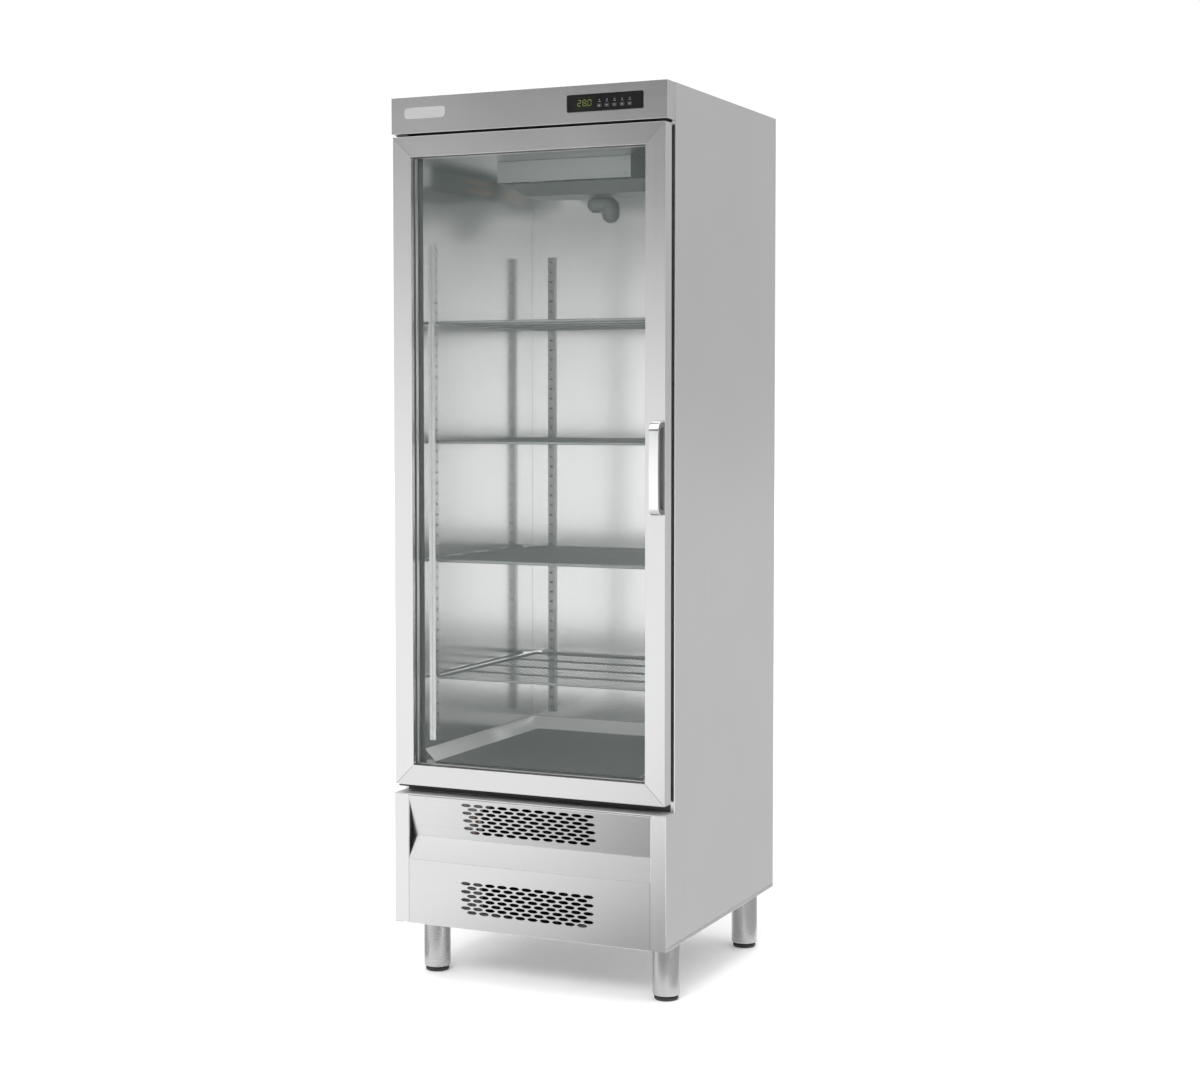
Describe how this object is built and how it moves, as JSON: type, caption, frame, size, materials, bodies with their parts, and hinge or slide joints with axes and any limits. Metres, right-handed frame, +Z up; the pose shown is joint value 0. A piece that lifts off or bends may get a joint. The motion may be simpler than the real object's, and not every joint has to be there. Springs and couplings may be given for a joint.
{
  "type": "proofing cabinet",
  "caption": "Upright stainless proofing cabinet with a glass door hung on the left, wire shelves inside, an air unit under the ceiling and a slotted machine compartment on legs.",
  "frame": {"origin": "on the floor under the middle of the whole object, handle included", "axes": "+X to the right of someone facing the door, +Y from the door to the back, +Z up"},
  "size_m": [0.693, 0.742, 2.067],
  "materials": {
    "outer_steel": "satin",
    "liner_steel": "gloss",
    "leg_steel": "satin",
    "foam": "matte",
    "surround_plastic": "matte",
    "controller_plastic": "gloss",
    "key_rubber": "matte",
    "badge_metal": "gloss",
    "shelf_wire": "satin",
    "fin_metal": "satin",
    "tray_plastic": "satin",
    "heater_steel": "satin",
    "machine_paint": "satin",
    "black_plastic": "matte",
    "foot_plastic": "matte",
    "glass": "polished",
    "seal_rubber": "matte",
    "handle_plastic": "satin",
    "handle_metal": "satin"
  },
  "bodies": {
    "cabinet": {"side_panel_left": "outer_steel", "side_panel_right": "outer_steel", "back_panel": "outer_steel", "top_panel": "outer_steel", "base_pan": "outer_steel", "insulation_foam": "foam", "liner_left": "liner_steel", "liner_right": "liner_steel", "liner_back": "liner_steel", "liner_ceiling": "liner_steel", "liner_floor": "liner_steel", "door_surround": "surround_plastic", "sill_ledge": "outer_steel", "control_fascia": "outer_steel", "controller_housing": "controller_plastic", "badge_plate": "badge_metal", "pilaster_front_left": "liner_steel", "pilaster_front_right": "liner_steel", "pilaster_rear_left": "liner_steel", "pilaster_rear_right": "liner_steel", "evaporator_cover": "outer_steel", "evaporator_coil": "fin_metal", "drip_tray": "tray_plastic", "drain_elbow": "tray_plastic", "air_heater": "heater_steel", "compressor": "machine_paint", "condenser_coil": "fin_metal", "condenser_fan_motor": "machine_paint", "cable_gland": "black_plastic", "hinge_bracket_top": "outer_steel", "hinge_bracket_bottom": "outer_steel", "leg_front_left": "leg_steel", "leg_front_right": "leg_steel", "leg_rear_left": "leg_steel", "leg_rear_right": "leg_steel"},
    "door": {"door_stile_left": "outer_steel", "door_stile_right": "outer_steel", "door_rail_top": "outer_steel", "door_rail_bottom": "outer_steel", "glass_outer": "glass", "glass_inner": "glass", "door_gasket": "seal_rubber", "handle_base": "handle_plastic", "handle_bar": "handle_metal"},
    "grille": {"grille_panel": "outer_steel"},
    "blower": {"evaporator_fan": "black_plastic"},
    "cooler": {"condenser_fan": "black_plastic"},
    "key_1_body": {"key_1": "key_rubber"},
    "key_2_body": {"key_2": "key_rubber"},
    "key_3_body": {"key_3": "key_rubber"},
    "key_4_body": {"key_4": "key_rubber"},
    "key_5_body": {"key_5": "key_rubber"},
    "shelf_1_body": {"shelf_1": "shelf_wire"},
    "shelf_2_body": {"shelf_2": "shelf_wire"},
    "shelf_3_body": {"shelf_3": "shelf_wire"},
    "shelf_4_body": {"shelf_4": "shelf_wire"},
    "foot_front_left_body": {"foot_front_left": "foot_plastic"},
    "foot_front_right_body": {"foot_front_right": "foot_plastic"},
    "foot_rear_left_body": {"foot_rear_left": "foot_plastic"},
    "foot_rear_right_body": {"foot_rear_right": "foot_plastic"}
  },
  "joints": [
    {"name": "door_hinge", "type": "hinge", "parent": "cabinet", "child": "door", "pos_m": [-0.331, -0.313, 1.2], "axis": [0, 0, -1], "range_deg": [0, 105]},
    {"name": "grille_tilt", "type": "hinge", "parent": "cabinet", "child": "grille", "pos_m": [0, -0.331, 0.1385], "axis": [1, 0, 0], "range_deg": [0, 70]},
    {"name": "evaporator_fan_spin", "type": "hinge", "parent": "cabinet", "child": "blower", "pos_m": [-0.025, 0.011, 1.905], "axis": [0, 0, 1], "continuous": true},
    {"name": "condenser_fan_spin", "type": "hinge", "parent": "cabinet", "child": "cooler", "pos_m": [0, -0.201, 0.285], "axis": [0, 1, 0], "continuous": true},
    {"name": "key_1_press", "type": "slide", "parent": "cabinet", "child": "key_1_body", "axis": [0, 1, 0], "range_m": [0, 0.001], "stiffness_N_per_m": 600, "springref_m": -0.0005},
    {"name": "key_2_press", "type": "slide", "parent": "cabinet", "child": "key_2_body", "axis": [0, 1, 0], "range_m": [0, 0.001], "stiffness_N_per_m": 600, "springref_m": -0.0005},
    {"name": "key_3_press", "type": "slide", "parent": "cabinet", "child": "key_3_body", "axis": [0, 1, 0], "range_m": [0, 0.001], "stiffness_N_per_m": 600, "springref_m": -0.0005},
    {"name": "key_4_press", "type": "slide", "parent": "cabinet", "child": "key_4_body", "axis": [0, 1, 0], "range_m": [0, 0.001], "stiffness_N_per_m": 600, "springref_m": -0.0005},
    {"name": "key_5_press", "type": "slide", "parent": "cabinet", "child": "key_5_body", "axis": [0, 1, 0], "range_m": [0, 0.001], "stiffness_N_per_m": 600, "springref_m": -0.0005},
    {"name": "shelf_1_lift", "type": "slide", "parent": "cabinet", "child": "shelf_1_body", "axis": [0, 0, 1], "range_m": [0, 0.03]},
    {"name": "shelf_2_lift", "type": "slide", "parent": "cabinet", "child": "shelf_2_body", "axis": [0, 0, 1], "range_m": [0, 0.03]},
    {"name": "shelf_3_lift", "type": "slide", "parent": "cabinet", "child": "shelf_3_body", "axis": [0, 0, 1], "range_m": [0, 0.03]},
    {"name": "shelf_4_lift", "type": "slide", "parent": "cabinet", "child": "shelf_4_body", "axis": [0, 0, 1], "range_m": [0, 0.03]},
    {"name": "foot_front_left_level", "type": "slide", "parent": "cabinet", "child": "foot_front_left_body", "axis": [0, 0, -1], "range_m": [0, 0.02]},
    {"name": "foot_front_right_level", "type": "slide", "parent": "cabinet", "child": "foot_front_right_body", "axis": [0, 0, -1], "range_m": [0, 0.02]},
    {"name": "foot_rear_left_level", "type": "slide", "parent": "cabinet", "child": "foot_rear_left_body", "axis": [0, 0, -1], "range_m": [0, 0.02]},
    {"name": "foot_rear_right_level", "type": "slide", "parent": "cabinet", "child": "foot_rear_right_body", "axis": [0, 0, -1], "range_m": [0, 0.02]}
  ]
}
